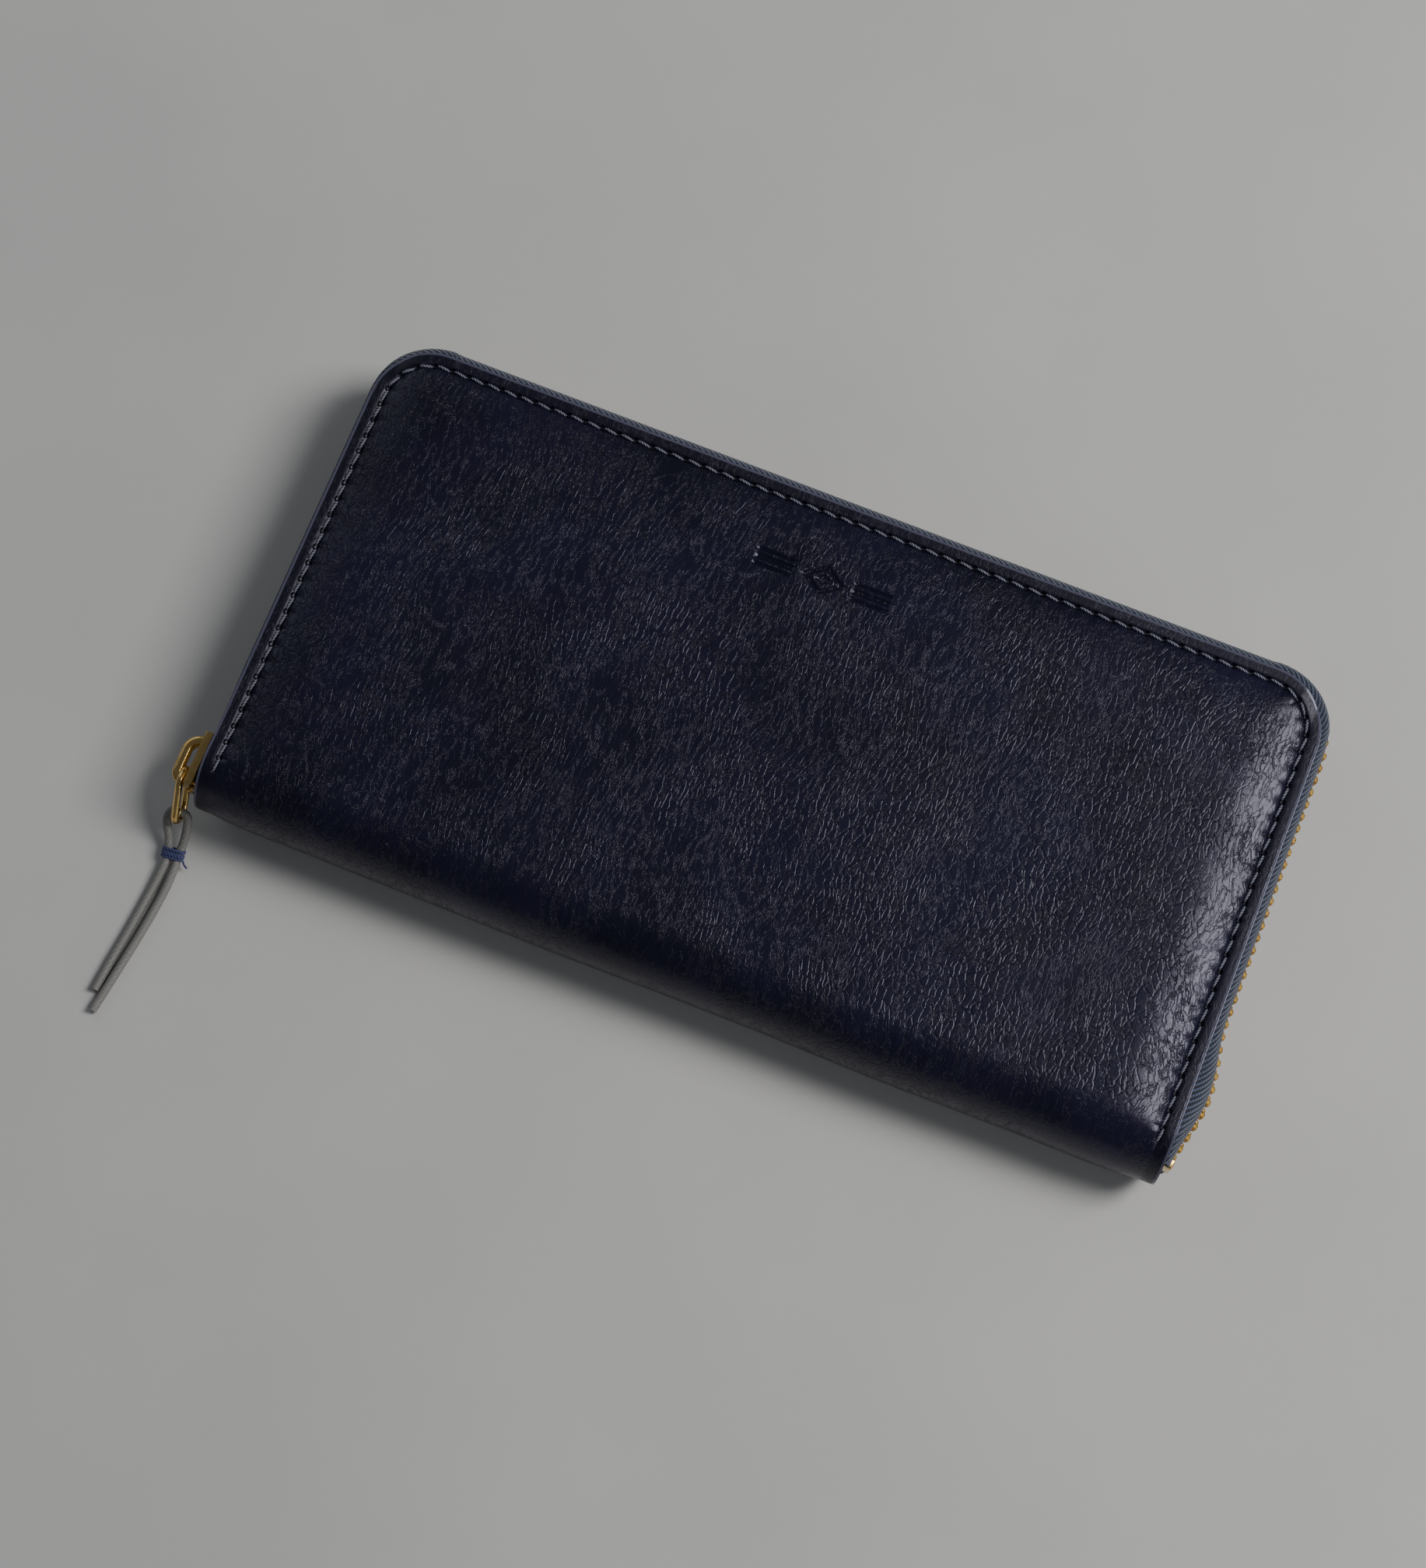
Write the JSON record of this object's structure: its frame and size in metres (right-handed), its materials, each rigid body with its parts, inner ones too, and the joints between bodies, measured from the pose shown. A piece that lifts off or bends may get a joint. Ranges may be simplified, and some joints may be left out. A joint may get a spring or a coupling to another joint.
{
  "type": "long wallet",
  "caption": "Zip-around long wallet of navy leather with card slots, bill compartments, a zipped coin pocket and a slider with a corded pull",
  "frame": {"origin": "centre of the face the wallet rests on, under its back cover", "axes": "+X along the spine, +Y from the spine to the zip's long side, +Z from the back cover to the front cover"},
  "size_m": [0.2063, 0.1444, 0.023],
  "materials": {
    "leather": "satin, fine creased grain",
    "lining": "smooth matt lining",
    "inner_leather": "smooth satin",
    "card_slots": "smooth satin",
    "board": "matt",
    "tape": "twill weave",
    "teeth": "polished",
    "brass_hardware": "polished",
    "cord": "waxed round cord",
    "thread": "twisted thread"
  },
  "bodies": {
    "back_cover": {"back_board": "board", "back_leather": "leather", "back_lining": "lining", "card_slot_back_1": "card_slots", "card_slot_back_2": "card_slots", "card_slot_back_3": "card_slots", "card_slot_back_4": "card_slots", "gusset_back_left": "inner_leather", "gusset_back_right": "inner_leather", "spine_leather": "leather", "spine_lining": "lining", "zip_bottom_stop": "teeth", "zip_tape_back": "tape", "zip_teeth_back": "teeth", "zip_teeth_back_end": "teeth", "zip_teeth_back_left": "teeth", "zip_top_stop_back": "teeth"},
    "front_cover": {"card_slot_front_1": "card_slots", "card_slot_front_2": "card_slots", "card_slot_front_3": "card_slots", "card_slot_front_4": "card_slots", "front_board": "board", "front_leather": "leather", "front_lining": "lining", "gusset_front_left": "inner_leather", "gusset_front_right": "inner_leather", "zip_tape_front": "tape", "zip_tape_front_end": "tape", "zip_tape_front_left": "tape", "zip_teeth_front": "teeth", "zip_teeth_front_end": "teeth", "zip_teeth_front_left": "teeth", "zip_top_stop_front": "teeth"},
    "coin_pocket": {"pocket_back_panel": "inner_leather", "pocket_base": "inner_leather", "pocket_front_panel": "inner_leather", "pocket_side_left": "inner_leather", "pocket_side_right": "inner_leather", "pocket_tape_back": "tape", "pocket_tape_front": "tape", "pocket_teeth_back": "teeth", "pocket_teeth_front": "teeth"},
    "coin_slider": {"pocket_slider": "brass_hardware"},
    "coin_pull": {"pocket_pull": "brass_hardware"},
    "zip_slider": {"slider_body": "brass_hardware"},
    "link": {"link_ring": "brass_hardware"},
    "pull_cord": {"pull_cord_left": "cord", "pull_cord_right": "cord", "cord_whipping": "thread"}
  },
  "joints": [
    {"name": "cover_fold", "type": "hinge", "parent": "back_cover", "child": "front_cover", "pos_m": [0, -0.04, 0.023], "axis": [1, 0, 0], "range_deg": [0, 75], "deforming": ["gusset_back_left", "gusset_back_right", "gusset_front_left", "gusset_front_right", "zip_tape_front_left", "zip_teeth_front_left", "zip_top_stop_front", "zip_tape_front_end", "zip_teeth_front_end"]},
    {"name": "pocket_fold", "type": "hinge", "parent": "back_cover", "child": "coin_pocket", "pos_m": [0, -0.0472, 0.0115], "axis": [1, 0, 0], "range_deg": [0, 37.5], "deforming": ["gusset_back_left", "gusset_back_right", "gusset_front_left", "gusset_front_right"]},
    {"name": "coin_zip_slide", "type": "slide", "parent": "coin_pocket", "child": "coin_slider", "axis": [1, 0, 0], "range_m": [0, 0.146], "deforming": ["pocket_teeth_back", "pocket_teeth_front"]},
    {"name": "coin_pull_swing", "type": "hinge", "parent": "coin_slider", "child": "coin_pull", "pos_m": [-0.08, 0.035, 0.0115], "axis": [0, 0, 1], "range_deg": [0, 170]},
    {"name": "zip_slide", "type": "slide", "parent": "back_cover", "child": "zip_slider", "axis": [0, 1, 0], "range_m": [0, 0.072], "deforming": ["zip_teeth_back_left", "zip_teeth_front_left", "pull_cord_left", "pull_cord_right", "cord_whipping"]},
    {"name": "link_swing", "type": "hinge", "parent": "zip_slider", "child": "link", "pos_m": [-0.10162, -0.04595, 0.0115], "axis": [-1, 0, 0], "range_deg": [0, 90]},
    {"name": "cord_swing", "type": "hinge", "parent": "link", "child": "pull_cord", "pos_m": [-0.101, -0.05207, 0.00556], "axis": [-1, 0, 0], "range_deg": [0, 60]}
  ],
  "couplings": [
    {"joint": "pocket_fold", "follows": "cover_fold", "ratio": 0.5}
  ]
}
